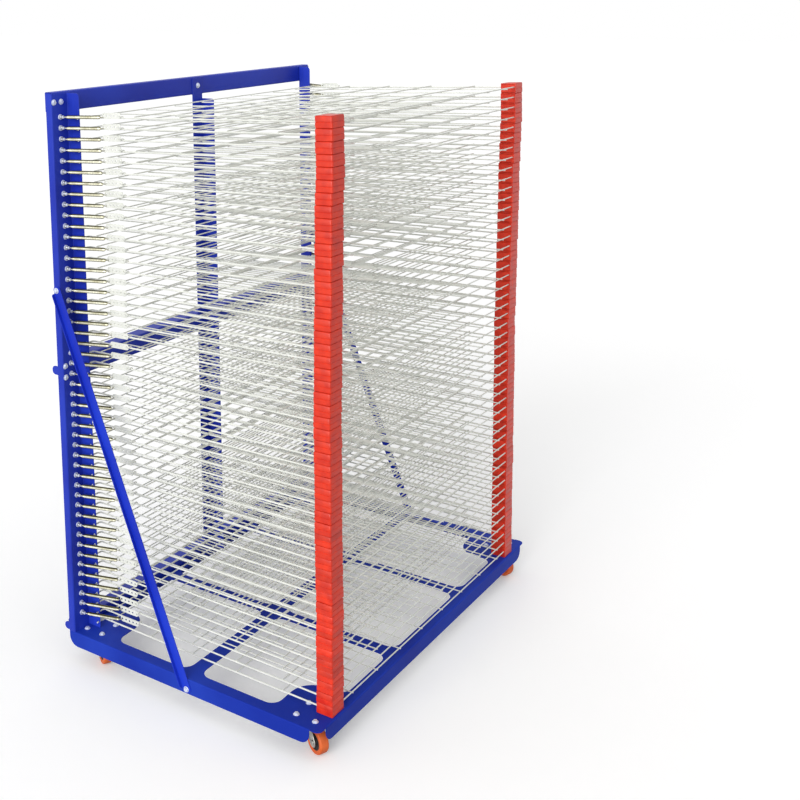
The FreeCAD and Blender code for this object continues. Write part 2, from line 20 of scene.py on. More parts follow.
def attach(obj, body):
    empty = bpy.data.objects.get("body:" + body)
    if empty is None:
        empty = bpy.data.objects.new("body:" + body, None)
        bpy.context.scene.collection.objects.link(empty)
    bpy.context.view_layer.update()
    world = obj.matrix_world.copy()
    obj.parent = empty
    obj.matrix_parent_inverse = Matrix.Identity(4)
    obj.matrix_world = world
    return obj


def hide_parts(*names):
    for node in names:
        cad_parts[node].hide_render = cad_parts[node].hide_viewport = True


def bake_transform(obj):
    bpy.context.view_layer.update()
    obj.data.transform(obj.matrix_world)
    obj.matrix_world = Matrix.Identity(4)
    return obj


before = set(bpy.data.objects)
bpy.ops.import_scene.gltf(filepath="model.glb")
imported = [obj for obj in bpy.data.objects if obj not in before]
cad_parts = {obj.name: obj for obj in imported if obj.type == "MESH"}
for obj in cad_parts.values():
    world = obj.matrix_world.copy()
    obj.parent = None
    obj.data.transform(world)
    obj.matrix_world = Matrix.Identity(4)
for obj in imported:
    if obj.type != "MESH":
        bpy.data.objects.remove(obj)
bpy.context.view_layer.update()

# %% [markdown]
# ## Tools for wire and sheet
#
# Everything on the rack is either wire, sheet or a small turned part, so three tools make
# nearly all of it. A shape is a pair: an array of points in millimetres and a list of faces.
# Keeping shapes as plain lists lets one drawing be placed many times, which is how the real
# shelves are made too: fifty of the same.

# %% Arcs and outlines
def bend(corners, radius, steps=5):
    """A line of points that turns each of its inner corners on an arc."""
    corners = [np.array(corner, float) for corner in corners]
    line = [corners[0]]
    for before, corner, after in zip(corners, corners[1:], corners[2:]):
        line += arc(before, corner, after, radius, steps)
    return np.array(line + [corners[-1]])


def arc(before, corner, after, radius, steps):
    """The points of the arc that rounds one corner."""
    a, b = before - corner, after - corner
    a, b = a / np.linalg.norm(a), b / np.linalg.norm(b)
    half = math.acos(max(-1, min(1, a @ b))) / 2
    if radius <= 0 or half > math.pi / 2 - 1e-3:
        return [corner]
    centre = corner + (a + b) / np.linalg.norm(a + b) * radius / math.sin(half)
    first = corner + a * radius / math.tan(half) - centre
    last = corner + b * radius / math.tan(half) - centre
    turn = math.pi - 2 * half
    return [centre + (math.sin(turn * (1 - t)) * first + math.sin(turn * t) * last) / math.sin(turn)
            for t in np.linspace(0, 1, steps + 1)]


def ring_of(corners, radii, steps=6):
    """A closed outline with rounded corners; radii is one radius, or one for each corner."""
    if not hasattr(radii, "__len__"):
        radii = [radii] * len(corners)
    corners = [np.array(corner, float) for corner in corners]
    loop = []
    for n, radius in enumerate(radii):
        loop += arc(corners[n - 1], corners[n], corners[(n + 1) % len(corners)], radius, steps)
    return np.array(loop)


def rectangle(low_x, low_y, high_x, high_y, radii=0, steps=6):
    """A rectangle with rounded corners, named from its least corner and anticlockwise."""
    return ring_of([(low_x, low_y), (high_x, low_y), (high_x, high_y), (low_x, high_y)], radii, steps)


def around(sides):
    """The angles of evenly spaced points on a circle."""
    return np.arange(sides) * 2 * math.pi / sides


def circle(x, y, radius, sides=16):
    turns = around(sides)
    return np.stack([x + radius * np.cos(turns), y + radius * np.sin(turns)], axis=1)


def bent_section(path, gauge, radius):
    """The outline of a bent sheet, seen end on, from the line of its middle."""
    line = bend([(*point, 0) for point in path], radius, 4)[:, :2]
    along = np.gradient(line, axis=0)
    along[0], along[-1] = line[1] - line[0], line[-1] - line[-2]
    along /= np.linalg.norm(along, axis=1)[:, None]
    side = np.stack([-along[:, 1], along[:, 0]], axis=1) * gauge / 2
    return np.concatenate([line + side, (line - side)[::-1]])


print("a square with round corners has", len(rectangle(0, 0, 9, 9, 2)), "points")

# %% Wire and turned parts
AXIS = 0.01     # how near to its axis a solid turned part starts and ends


def wire(points, radius, sides=8):
    """A wire along a line of points; radius is one radius, or one for each point."""
    points = np.array(points, float)
    radius = np.broadcast_to(radius, len(points))
    along = np.gradient(points, axis=0)
    along /= np.linalg.norm(along, axis=1)[:, None]
    across = np.cross(along[0], (0, 0, 1) if abs(along[0][2]) < 0.9 else (0, 1, 0))
    turns = around(sides)
    rings = []
    for point, ahead, size in zip(points, along, radius):
        across = across - (across @ ahead) * ahead
        across /= np.linalg.norm(across)
        up = np.cross(ahead, across)
        rings.append(point + size * (np.outer(np.cos(turns), across) + np.outer(np.sin(turns), up)))
    return skin(rings)


def skin(rings, closed=False):
    """Faces between rings of points, with a face on each end or the last ring joined to the
    first."""
    sides, count = len(rings[0]), len(rings)
    faces = []
    for ring in range(count if closed else count - 1):
        here, there = ring * sides, (ring + 1) % count * sides
        for n in range(sides):
            after = (n + 1) % sides
            faces.append((here + n, here + after, there + after, there + n))
    if not closed:
        faces += [tuple(reversed(range(sides))), tuple(range((count - 1) * sides, count * sides))]
    return np.concatenate(rings), faces


def turned(profile, sides=20, closed=False):
    """A turned part about the Z axis, from its profile as (radius, height) pairs."""
    turns = around(sides)
    return skin([np.stack([radius * np.cos(turns), radius * np.sin(turns), np.full(sides, height)], axis=1)
                 for radius, height in profile], closed)


def mirrored(profile):
    """A profile with its mirror image after it."""
    return profile + [(radius, -height) for radius, height in reversed(profile)]


print("a wire between two points has", len(wire([(0, 0, 0), (0, 0, 9)], 1)[1]), "faces")

# %% Sheet
def inset(rim, distance):
    """A closed rim moved into the material, which lies on its left."""
    ahead = np.roll(rim, -1, axis=0) - rim
    ahead /= np.linalg.norm(ahead, axis=1)[:, None]
    left = np.stack([-ahead[:, 1], ahead[:, 0]], axis=1)
    before = np.roll(left, 1, axis=0)
    return rim + distance * (left + before) / (1 + np.sum(left * before, axis=1))[:, None]


def layered(outlines, layers):
    """A slab in the XY plane, cut to its first outline and pierced by the others.  layers
    are (height, inset) pairs from the bottom up, which shape the edges of the cut."""
    rims = []
    for n, outline in enumerate(outlines):
        rim = np.array(outline, float)
        rim = rim[np.linalg.norm(rim - np.roll(rim, 1, axis=0), axis=1) > 1e-3]
        ahead = np.roll(rim, -1, axis=0)
        area = np.sum(rim[:, 0] * ahead[:, 1] - rim[:, 1] * ahead[:, 0])
        rims.append(rim if (area > 0) == (n == 0) else rim[::-1])
    points = [np.concatenate([np.column_stack([inset(rim, depth), np.full(len(rim), height)])
                              for rim in rims]) for height, depth in layers]
    total, first, edges = len(points[0]), 0, []
    for rim in rims:
        edges += [(first + n, first + (n + 1) % len(rim)) for n in range(len(rim))]
        first += len(rim)
    faces = [(a + n * total, b + n * total, b + (n + 1) * total, a + (n + 1) * total)
             for n in range(len(layers) - 1) for a, b in edges]
    owner = np.repeat(range(len(rims)), [len(rim) for rim in rims])
    flat = [Vector(point[:2]) for point in points[0]]
    _, _, triangles, origins, *_ = delaunay_2d_cdt(flat, edges, [], 2, 1e-5)
    cap = []
    for face in triangles:
        a, b, c = sorted(origins[corner][0] for corner in face)
        (ax, ay), (bx, by), (cx, cy) = points[0][[a, b, c], :2]
        facing_up = (bx - ax) * (cy - ay) > (by - ay) * (cx - ax)
        # a face with all its corners on one rim lies in the material if it follows that rim
        if facing_up or not owner[a] == owner[b] == owner[c]:
            cap.append((a, b, c) if facing_up else (a, c, b))
    top = (len(layers) - 1) * total
    faces += [face[::-1] for face in cap] + [tuple(corner + top for corner in face) for face in cap]
    return np.concatenate(points), faces


def blank(outlines, gauge, ease=0.35):
    """A flat sheet whose edges are eased on both sides."""
    half = gauge / 2
    return layered(outlines, [(-half, ease), (ease - half, 0), (half - ease, 0), (half, ease)])


print("a blank with a hole has", len(blank([rectangle(0, 0, 9, 9), circle(4, 4, 2)], 1)[1]), "faces")

# %% Placing
def moved(shape, matrix):
    """A shape in another place; a mirror turns its faces over."""
    points, faces = shape
    turn = np.array(matrix.to_3x3())
    if np.linalg.det(turn) < 0:
        faces = [face[::-1] for face in faces]
    return points @ turn.T + np.array(matrix.translation), faces


def at(x=0, y=0, z=0):
    """The place of a point, in millimetres."""
    return Matrix.Translation((x, y, z))


def turn(degrees, axis):
    return Matrix.Rotation(math.radians(degrees), 4, axis)


RIGHT_SIDE, LEFT_SIDE = Matrix.Identity(4), Matrix.Diagonal((-1, 1, 1, 1))
# the planes in which sheets are drawn: X and Z of the rack, or Y and Z of the rack
UPRIGHT_XZ = Matrix(((1, 0, 0, 0), (0, 0, -1, 0), (0, 1, 0, 0), (0, 0, 0, 1)))
UPRIGHT_YZ = Matrix(((0, 0, 1, 0), (1, 0, 0, 0), (0, 1, 0, 0), (0, 0, 0, 1)))
FRONTWARDS, LEFTWARDS, RIGHTWARDS = turn(90, "X"), turn(-90, "Y"), turn(90, "Y")
print("a point 5 mm up is at", tuple(at(z=5).translation))

# %% Making a piece
MILLIMETRE = 0.001
CREASE = math.radians(35)     # an edge that turns by more than this looks sharp


def merged(shapes):
    """Several shapes as one."""
    points, faces, start = [], [], 0
    for shape_points, shape_faces in shapes:
        points.append(shape_points)
        faces += [tuple(n + start for n in face) for face in shape_faces]
        start += len(shape_points)
    return np.concatenate(points), faces


def piece(name, shapes, finish, body, stands_for=()):
    """Makes the object of one piece, lets it ride and lets it stand for CAD nodes."""
    points, faces = merged(shapes)
    mesh = bpy.data.meshes.new(name)
    mesh.from_pydata((points * MILLIMETRE).tolist(), [], faces)
    mesh.materials.append(finish)
    mesh.shade_smooth()
    mesh.set_sharp_from_angle(angle=CREASE)
    item = bpy.data.objects.new(name, mesh)
    bpy.context.scene.collection.objects.link(item)
    if body:
        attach(item, body)
    if stands_for:
        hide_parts(*stands_for)
    return item


print("tools ready; 1000 mm are", 1000 * MILLIMETRE, "m in the scene")

# %% [markdown]
# ## Finishes
#
# The frame wears a blue enamel, the shelves a white one, and the braces a lighter copy of
# the blue, which is painted light for the lamp on their sides. Enamel is never quite even:
# its colour and gloss drift a little over a hand's width, it has a fine peel, and dust
# settles on what faces up. Zinc is blotchy, the springs carry painted shade on their upper
# and lower sides, and the moulded spacers are each a slightly different red. Each finish
# mixes a broad noise into its colour and gloss, and a fine one into its bump.

# %% A builder for finishes
DUST = 150, 150, 150
GRAIN_HEIGHT = 0.0002     # metres


def linear(*rgb):
    """A colour from the 0 to 255 scale of a paint chart to the shader's scale."""
    return [((v / 255 + 0.055) / 1.055) ** 2.4 if v > 10 else v / 255 / 12.92 for v in rgb] + [1]


def finish(name, dark, light, drift, gloss, peel, depth, metal=0, specular=0.5, dust=0, per_piece=0,
           painted_shade=None):
    """An uneven finish.  dark and light bound its colour, drift is the width in metres of
    its uneven patches, gloss the range of its roughness, peel the width of its grain and
    depth the grain's strength.  dust is how much of it lies on what faces up, per_piece how
    much each part's brightness differs, and painted_shade the colour of the painted shade
    laid on upper and lower sides."""
    material = bpy.data.materials.new(name)
    material.use_nodes = True
    nodes, links = material.node_tree.nodes, material.node_tree.links
    shader = nodes["Principled BSDF"]
    shader.inputs["Metallic"].default_value = metal
    shader.inputs["Specular IOR Level"].default_value = specular
    place = nodes.new("ShaderNodeTexCoord")

    def noise(width, detail=3):
        node = nodes.new("ShaderNodeTexNoise")
        node.inputs["Scale"].default_value = 1 / width
        node.inputs["Detail"].default_value = detail
        links.new(place.outputs["Object"], node.inputs["Vector"])
        return node.outputs["Fac"]

    def spread(value, low, high, least, most):
        node = nodes.new("ShaderNodeMapRange")
        for socket, number in zip(("From Min", "From Max", "To Min", "To Max"), (low, high, least, most)):
            node.inputs[socket].default_value = number
        links.new(value, node.inputs["Value"])
        return node.outputs["Result"]

    def worked_out(operation, *values):
        node = nodes.new("ShaderNodeMath")
        node.operation = operation
        for n, value in enumerate(values):
            links.new(value, node.inputs[n])
        return node.outputs["Value"]

    def facing_up():
        split = nodes.new("ShaderNodeSeparateXYZ")
        links.new(nodes.new("ShaderNodeNewGeometry").outputs["Normal"], split.inputs["Vector"])
        return split.outputs["Z"]

    def mixed_with_dust_and_shade(colour, dust_and_shade_colour, share):
        node = nodes.new("ShaderNodeMix")
        node.data_type = "RGBA"
        links.new(share, node.inputs["Factor"])
        links.new(colour, node.inputs["A"])
        node.inputs["B"].default_value = dust_and_shade_colour
        return node.outputs["Result"]

    patches, grain = noise(drift), noise(peel, 2)
    ramp = nodes.new("ShaderNodeValToRGB")
    ramp.color_ramp.elements[0].position, ramp.color_ramp.elements[0].color = 0.35, dark
    ramp.color_ramp.elements[1].position, ramp.color_ramp.elements[1].color = 0.65, light
    links.new(patches, ramp.inputs["Fac"])
    colour = ramp.outputs["Color"]
    if per_piece:
        shade = nodes.new("ShaderNodeHueSaturation")
        which = nodes.new("ShaderNodeNewGeometry").outputs["Random Per Island"]
        links.new(spread(which, 0, 1, 1 - per_piece, 1 + per_piece), shade.inputs["Value"])
        links.new(colour, shade.inputs["Color"])
        colour = shade.outputs["Color"]
    # painted shade: the colour darkens towards this colour where faces point up or down
    if painted_shade:
        colour = mixed_with_dust_and_shade(colour, painted_shade, spread(worked_out("ABSOLUTE", facing_up()), 0.35, 0.62, 0, 1))
    if dust:
        fallen = spread(facing_up(), 0.5, 1, 0, dust)
        blown = spread(noise(drift / 6), 0.4, 0.7, 0.2, 1)
        colour = mixed_with_dust_and_shade(colour, linear(*DUST), worked_out("MULTIPLY", fallen, blown))
    links.new(colour, shader.inputs["Base Color"])
    links.new(spread(patches, 0.3, 0.7, *gloss), shader.inputs["Roughness"])
    bump = nodes.new("ShaderNodeBump")
    bump.inputs["Strength"].default_value = depth
    bump.inputs["Distance"].default_value = GRAIN_HEIGHT
    links.new(grain, bump.inputs["Height"])
    links.new(bump.outputs["Normal"], shader.inputs["Normal"])
    return material


print("128 on a paint chart is", round(linear(128)[0], 3), "for the shader")

# %% The finishes
ENAMEL = {"drift": 0.18, "peel": 0.0016, "depth": 0.25}
BASE_PAINT = finish("base_enamel", linear(25, 49, 160), linear(35, 63, 178), gloss=(0.45, 0.55),
                    specular=0.08, **ENAMEL)
POST_PAINT = finish("post_enamel", linear(24, 44, 164), linear(34, 60, 186), gloss=(0.42, 0.52),
                    specular=0.28, dust=0.02, **ENAMEL)
# painted light: the braces' enamel is a lighter copy of the frame's blue, for the lamp on their sides
BRACE_PAINTED_LIGHT = finish("brace_enamel_painted_light", linear(22, 46, 180), linear(30, 60, 200), gloss=(0.4, 0.5),
                     specular=0.2, **ENAMEL)
SHELF_PAINT = finish("shelf_enamel", linear(220, 222, 214), linear(234, 235, 228), drift=0.05,
                     gloss=(0.35, 0.5), peel=0.002, depth=0.2, specular=0.4)
SPACER_PLASTIC = finish("spacer_plastic", linear(204, 36, 8), linear(224, 50, 14), drift=0.02,
                        gloss=(0.32, 0.44), peel=0.0012, depth=0.2, per_piece=0.16)
ZINC = finish("zinc_plate", linear(190, 198, 220), linear(226, 232, 248), drift=0.006,
              gloss=(0.34, 0.48), peel=0.0008, depth=0.3, metal=0.25)
# painted shade: the springs darken on their tops and undersides, where a round wire's shade falls
SPRING_WIRE = finish("spring_wire", linear(212, 208, 176), linear(248, 247, 224), drift=0.02,
                     gloss=(0.3, 0.45), peel=0.0008, depth=0.2, metal=0.5, per_piece=0.12,
                     painted_shade=linear(78, 74, 32))
CASTOR_STEEL = finish("castor_steel", linear(150, 150, 146), linear(190, 190, 184), drift=0.012,
                      gloss=(0.28, 0.42), peel=0.0015, depth=0.3, metal=0.9)
TYRE = finish("castor_tyre", linear(214, 92, 40), linear(232, 112, 58), drift=0.02,
              gloss=(0.45, 0.6), peel=0.0012, depth=0.3, specular=0.3)
HUB = finish("castor_hub", linear(24, 24, 26), linear(38, 38, 40), drift=0.01,
             gloss=(0.45, 0.6), peel=0.001, depth=0.3, specular=0.3)
print("finishes:", [m.name for m in bpy.data.materials if m.use_nodes])

# %% [markdown]
# ## The pressed base
#
# The base is one sheet, 2 mm thick. Six openings with round corners make it lighter, and
# the corners over the castors stay solid. Its edges turn down as skirts that stiffen it.
# The bends are drawn as quarter tubes between flat sheets, as a folded sheet has no sharp
# edge, and the ends of the skirts are cut round to clear the castors.

# %% Sizes of the rack
GAUGE = 2                             # of the frame's sheet
SIDE, FRONT, REAR = 515, -370, 350    # the edges of the base
BASE_TOP, SKIRT = 80, 36
MIDDLE = (FRONT + REAR) / 2
RIM, BAR = 30, 36                     # what is left round the openings and between them
BEND = 3.2                            # the outer radius of the base's bends
WEB, RAIL_FACE = 332, 334             # the front faces of the uprights' webs and of the rails
FLANGE, FLANGE_FRONT = 466, 296       # the uprights' flanges: outer face and front edge
POST_TOP, BACK_TOP = 1374, 1378       # of the uprights, and of the top rail
print("the base is", 2 * SIDE, "by", REAR - FRONT, "mm")

# %% Openings
CORNER, LAND_CORNER = 26, 55                          # radii
LAND_WIDTH, LAND_REAR, LAND_FRONT = 147, 125, 134     # the solid corners over the castors


def opening(x, y):
    """The outline of one opening; x is -1, 0 or 1 across the rack, y is -1 or 1."""
    width, depth = (2 * SIDE - 2 * RIM - 2 * BAR) / 3, (REAR - FRONT - 2 * RIM - BAR) / 2
    centre_x, centre_y = x * (width + BAR), MIDDLE + y * (depth + BAR) / 2
    if not x:
        return rectangle(centre_x - width / 2, centre_y - depth / 2,
                         centre_x + width / 2, centre_y + depth / 2, CORNER)
    outer, inner = centre_x + x * width / 2, centre_x - x * width / 2
    edge, bar = centre_y + y * depth / 2, centre_y - y * depth / 2
    land_x, land_y = x * (SIDE - LAND_WIDTH), REAR - LAND_REAR if y > 0 else FRONT + LAND_FRONT
    loop = [(outer, land_y), (land_x, land_y), (land_x, edge), (inner, edge), (inner, bar), (outer, bar)]
    return ring_of(loop, [CORNER, LAND_CORNER, CORNER, CORNER, CORNER, CORNER], 8)


openings = [opening(x, y) for x in (-1, 0, 1) for y in (-1, 1)]
print(len(openings), "openings, each with up to", max(len(loop) for loop in openings), "points")

# %% Sheet, bends and skirts
SETBACK = 26                     # from a corner to the start of a skirt
CUT_CORNER, CUT_END = 14, 24     # radii of the base's front corners and of a skirt's ends


def pressed_base():
    across = SIDE - SETBACK
    edge = [(-SIDE, FRONT), (-across, FRONT), (-across, FRONT + BEND), (across, FRONT + BEND),
            (across, FRONT), (SIDE, FRONT), (SIDE, FRONT + SETBACK), (SIDE - BEND, FRONT + SETBACK),
            (SIDE - BEND, REAR), (across, REAR), (across, REAR - BEND), (-across, REAR - BEND),
            (-across, REAR), (BEND - SIDE, REAR), (BEND - SIDE, FRONT + SETBACK), (-SIDE, FRONT + SETBACK)]
    radii = [CUT_CORNER if abs(x) == SIDE and y == FRONT else 0 for x, y in edge]
    shapes = [moved(blank([ring_of(edge, radii)] + openings, GAUGE), at(z=BASE_TOP - GAUGE / 2))]
    # the section of a bend, from the sheet above to the skirt below
    turns = np.linspace(0, math.pi / 2, 6)
    outside = [(BEND * (math.sin(t) - 1), BEND * (math.cos(t) - 1)) for t in turns]
    inside = [((BEND - GAUGE) * math.sin(t) - BEND, (BEND - GAUGE) * math.cos(t) - BEND) for t in turns[::-1]]
    length, middle = REAR - FRONT - SETBACK, (REAR + FRONT + SETBACK) / 2
    for x, y, run, spin in ((0, REAR, 2 * across, 0), (0, FRONT, 2 * across, 180),
                            (SIDE, middle, length, -90), (-SIDE, middle, length, 90)):
        outline = rectangle(-run / 2, BASE_TOP - SKIRT, run / 2, BASE_TOP - BEND, [CUT_END, CUT_END, 0, 0])
        here = at(x, y, 0) @ turn(spin, "Z")
        shapes.append(moved(blank([outline], GAUGE, 0.5), here @ at(0, -GAUGE / 2, 0) @ UPRIGHT_XZ))
        shapes.append(moved(blank([outside + inside], run, 0.02), here @ at(0, 0, BASE_TOP) @ UPRIGHT_YZ))
    return shapes


piece("pressed_base", pressed_base(), BASE_PAINT, "rack", ["base_pan"])

# %% [markdown]
# ## The back frame
#
# Two uprights carry the hinges. Seen from above each is a Z: a lip to the rear along the
# outside, a web across the back, and a flange that runs forward and is pierced by fifty
# round holes for the shelves' pins. Rails join the uprights behind their webs, and an angle
# stands in the middle. Each profile is one outline with rounded bends, drawn out to length.

# %% Uprights
PIVOT_Y, PITCH, FIRST = 302.5, 25, 92.75
PIN_HOLE = 3.2     # radius
FOLD = 12          # the part of a flange that is drawn with the bend
SHELVES = 50


def pivot_z(n):
    """The height of the pins of shelf n, counted from the bottom."""
    return FIRST + (n - 1) * PITCH


def upright():
    """The upright on the right."""
    length = POST_TOP - BASE_TOP
    path = [(FLANGE - GAUGE / 2, WEB - FOLD), (FLANGE - GAUGE / 2, WEB + GAUGE / 2),
            (SIDE - GAUGE / 2, WEB + GAUGE / 2), (SIDE - GAUGE / 2, REAR)]
    section = blank([bent_section(path, GAUGE, 2.6)], length, ease=0.3)
    holes = [circle(PIVOT_Y, pivot_z(n), PIN_HOLE, 12) for n in range(1, SHELVES + 1)]
    flange = blank([rectangle(FLANGE_FRONT, BASE_TOP, WEB - FOLD, POST_TOP, [0, 0, 0, 9])] + holes, GAUGE)
    return [moved(section, at(z=BASE_TOP + length / 2)),
            moved(flange, at(FLANGE - GAUGE / 2) @ UPRIGHT_YZ)]


for name, place in (("right_upright", RIGHT_SIDE), ("left_upright", LEFT_SIDE)):
    shapes = [moved(shape, place) for shape in upright()]
    piece(f"{name}_sheet", shapes, POST_PAINT, "rack", [name])
print("pins from", pivot_z(1), "to", pivot_z(SHELVES), "mm above the floor")

# %% Centre post
POST_LEFT, POST_BEND, POST_FLANGE = -21, 18, 20     # across the rack
FLANGE_TOP = BACK_TOP - 57
post_web = blank([rectangle(POST_LEFT, BASE_TOP, POST_BEND, POST_TOP)], GAUGE)
post_flange = blank([rectangle(FLANGE_FRONT, BASE_TOP, WEB - 1, FLANGE_TOP, [0, 0, 0, 6])], GAUGE)
fold = [(POST_BEND, WEB + 1), (POST_FLANGE, WEB + 1), (POST_FLANGE, WEB - 1)]
post_bend = blank([bent_section(fold, GAUGE, 1.4)], FLANGE_TOP - BASE_TOP)
piece("post_angle", [moved(post_web, at(0, WEB + GAUGE / 2, 0) @ UPRIGHT_XZ),
                     moved(post_flange, at(POST_FLANGE) @ UPRIGHT_YZ),
                     moved(post_bend, at(z=(FLANGE_TOP + BASE_TOP) / 2))],
      POST_PAINT, "rack", ["centre_post"])
print("the post's flange ends", POST_TOP - FLANGE_TOP, "mm below its web")

# %% Rails
# lower and upper edge, depth, the corners' radius, the lug's height and its corners' radius
RAILS = {"top_rail": (1333, 1378, 20, 3, 44.6, 2),
         "middle_rail": (707.5, 752.5, 36, 29, 21, 9.6),
         "foot_rail": (80, 100, 33, 20, 19, 9)}


def rail(low, high, depth, corner, lug, lug_corner):
    """A channel across the back, open to the rear.  The rear corners of its flanges are
    round, and a lug of the given height closes each end."""
    back, half, reach = RAIL_FACE + depth, GAUGE / 2, SIDE - GAUGE
    fold = RAIL_FACE + 6
    path = [(fold, low + half), (RAIL_FACE + half, low + half),
            (RAIL_FACE + half, high - half), (fold, high - half)]
    flange = blank([rectangle(-reach, fold, reach, back, [0, 0, corner, corner], 8)], GAUGE)
    parts = [moved(blank([bent_section(path, GAUGE, 2.4)], 2 * reach, 0.3), UPRIGHT_YZ),
             moved(flange, at(z=low + half)), moved(flange, at(z=high - half))]
    level, round_end = (low + high) / 2, [0, lug_corner, lug_corner, 0]
    plate = blank([rectangle(RAIL_FACE + 0.5, level - lug / 2, back, level + lug / 2, round_end, 8)], GAUGE)
    return parts + [moved(plate, at(side * (reach - half)) @ UPRIGHT_YZ) for side in (-1, 1)]


for name, sizes in RAILS.items():
    piece(f"{name}_channel", rail(*sizes), POST_PAINT, "rack", [name])
print("rails at", [sizes[0] for sizes in RAILS.values()])

# %% [markdown]
# ## Braces
#
# A thin angle on each side runs from about two thirds of the way up the upright down to the
# base, so that the tall frame can't rock. Its flat leg lies against the rack's side and has
# round ends, and its other leg stands out along the rear edge.

# %% Braces
BRACE_FOOT, BRACE_HEAD = (-15, 56), (341, 924)     # Y and Z of its bolts
BOLT_END, LEG_END = 9, 14                          # from an end to the bolt and to the standing leg
LEG_FRONT, LEG_REAR, LEG_LINE = -12, 9, 11         # the flat leg, and the line of the standing one
STAND_FROM, STAND_TO = 3.5, 9.5                    # the standing leg, out from the rack's side


def brace():
    """The brace on the right, drawn along Z from its lower end."""
    (y0, z0), (y1, z1) = BRACE_FOOT, BRACE_HEAD
    length = math.hypot(y1 - y0, z1 - z0) + 2 * BOLT_END
    lean = math.degrees(math.atan2(y1 - y0, z1 - z0))
    leg = blank([rectangle(LEG_FRONT, 0, LEG_REAR, length, [9, 7, 7, 9])], GAUGE)
    standing = blank([rectangle(STAND_FROM, LEG_END, STAND_TO, length - LEG_END, [0, 5, 5, 0])], GAUGE)
    path = [(GAUGE / 2, LEG_REAR), (GAUGE / 2, LEG_LINE), (STAND_FROM, LEG_LINE)]
    fold = blank([bent_section(path, GAUGE, 1.4)], length - 2 * LEG_END)
    place = at(SIDE, y0, z0) @ turn(-lean, "X") @ at(0, 0, -BOLT_END)
    return [moved(leg, place @ at(GAUGE / 2) @ UPRIGHT_YZ),
            moved(standing, place @ at(0, LEG_LINE, 0) @ UPRIGHT_XZ),
            moved(fold, place @ at(0, 0, length / 2))]


for name, place in (("right_brace", RIGHT_SIDE), ("left_brace", LEFT_SIDE)):
    shapes = [moved(shape, place) for shape in brace()]
    piece(f"{name}_angle", shapes, BRACE_PAINTED_LIGHT, "rack", [name])
print("braces lean back from", BRACE_FOOT, "to", BRACE_HEAD)

# %% [markdown]
# ## Bolts and screws
#
# Zinc bolts with washers hold the frame together. A row of small screws on each upright
# holds the springs: each has a wide washer against the web, a shank that the spring's loop
# goes round, and a head that keeps the loop on.

# %% Bolts
ACROSS, HEIGHT = 10, 4                # the flats of a bolt's head, and its height
WASHER, WASHER_TOP = 0.7, 0.9         # radius as a share of ACROSS, and thickness
RAIL_BOLTS = (485.6, 1355.5), (508, 1355.5), (508, 743.5), (508, 716.5)     # X and Z
CASTOR_X, CASTOR_Y = 461, (-316, 296)
CASTOR_BOLT = 24                      # from the castor's centre, both ways

washer = turned([(AXIS, 0), (ACROSS * 0.66, 0), (ACROSS * WASHER, 0.25), (ACROSS * WASHER, 0.7),
                 (ACROSS * 0.66, WASHER_TOP), (AXIS, WASHER_TOP)], 20)
radius = ACROSS / 2 / math.cos(math.pi / 6) * 0.94
head = turned([(radius, 0.8), (radius, HEIGHT - 0.7), (radius * 0.88, HEIGHT),
               (radius * 0.5, HEIGHT + 0.05), (AXIS, HEIGHT)], 6)


def bolts_at(places):
    return [moved(part, place) for place in places for part in (washer, head)]


places = []
for side, outwards in ((-1, LEFTWARDS), (1, RIGHTWARDS)):
    places += [at(side * x, WEB, z) @ FRONTWARDS for x, z in RAIL_BOLTS]
    places += [at(side * (SIDE + GAUGE), y, z) @ outwards for y, z in (BRACE_HEAD, BRACE_FOOT)]
places.append(at(0, WEB, RAIL_BOLTS[0][1]) @ FRONTWARDS)
piece("frame_hex_bolts", bolts_at(places), ZINC, "rack", ["frame_bolts"])
places = [at(side * CASTOR_X + a * CASTOR_BOLT, y + b * CASTOR_BOLT, BASE_TOP)
          for side in (-1, 1) for y in CASTOR_Y for a in (-1, 1) for b in (-1, 1)]
piece("castor_hex_bolts", bolts_at(places), ZINC, "rack", ["castor_bolts"])
print(len(places), "bolts hold the castors")

# %% Screws for the springs
SCREW_X, SCREW_LIFT = 490.5, 4
wide_washer = [(AXIS, 0), (6, 0), (6.3, 0.4), (6.3, 2), (5.8, 2.6)]
shank = [(2, 2.9), (1.8, 3.2), (1.8, 9)]
round_head = [(3.1, 9.2), (3.5, 9.8), (3.3, 11.2), (2.2, 12), (AXIS, 12)]
screw = turned(wide_washer + shank + round_head, 16)
places = [at(side * SCREW_X, WEB, pivot_z(n) + SCREW_LIFT) @ FRONTWARDS @ turn(37 * n, "Z")
          for side in (-1, 1) for n in range(2, SHELVES + 1)]
piece("spring_screw_row", [moved(screw, place) for place in places], ZINC, "rack",
      ["spring_screws"])
print(len(places), "screws")

# %% [markdown]
# ## Springs
#
# Each shelf but the lowest has a pair of extension springs. Each hooks on its screw at one
# end and into a pierced tab on the shelf's side at the other. The close coils are drawn as a
# tube with a ridge for each turn that the eye can tell apart, and the hooks as thin wire.

# %% One spring
SCREW_Y = 325                 # where the spring's loop goes round the screw
TAB_X, TAB_Y = 452, 239.5     # where it hooks into the tab
TAB_DROP = 9                  # how far the lowest tabs hang below the highest
COIL_FROM, COIL_TO = 6.5, 4   # from the screw to the coils, and from the coils to the tab
RIDGE, GROOVE, RIDGES = 4.4, 0.6, 26
HOOK, LOOP = 0.7, 3.2         # radii of the hook's wire and of its loop


def tab_drop(n):
    """How far the tab of shelf n hangs below the top shelf's, so that its spring slopes."""
    return TAB_DROP * (SHELVES - n) / SHELVES


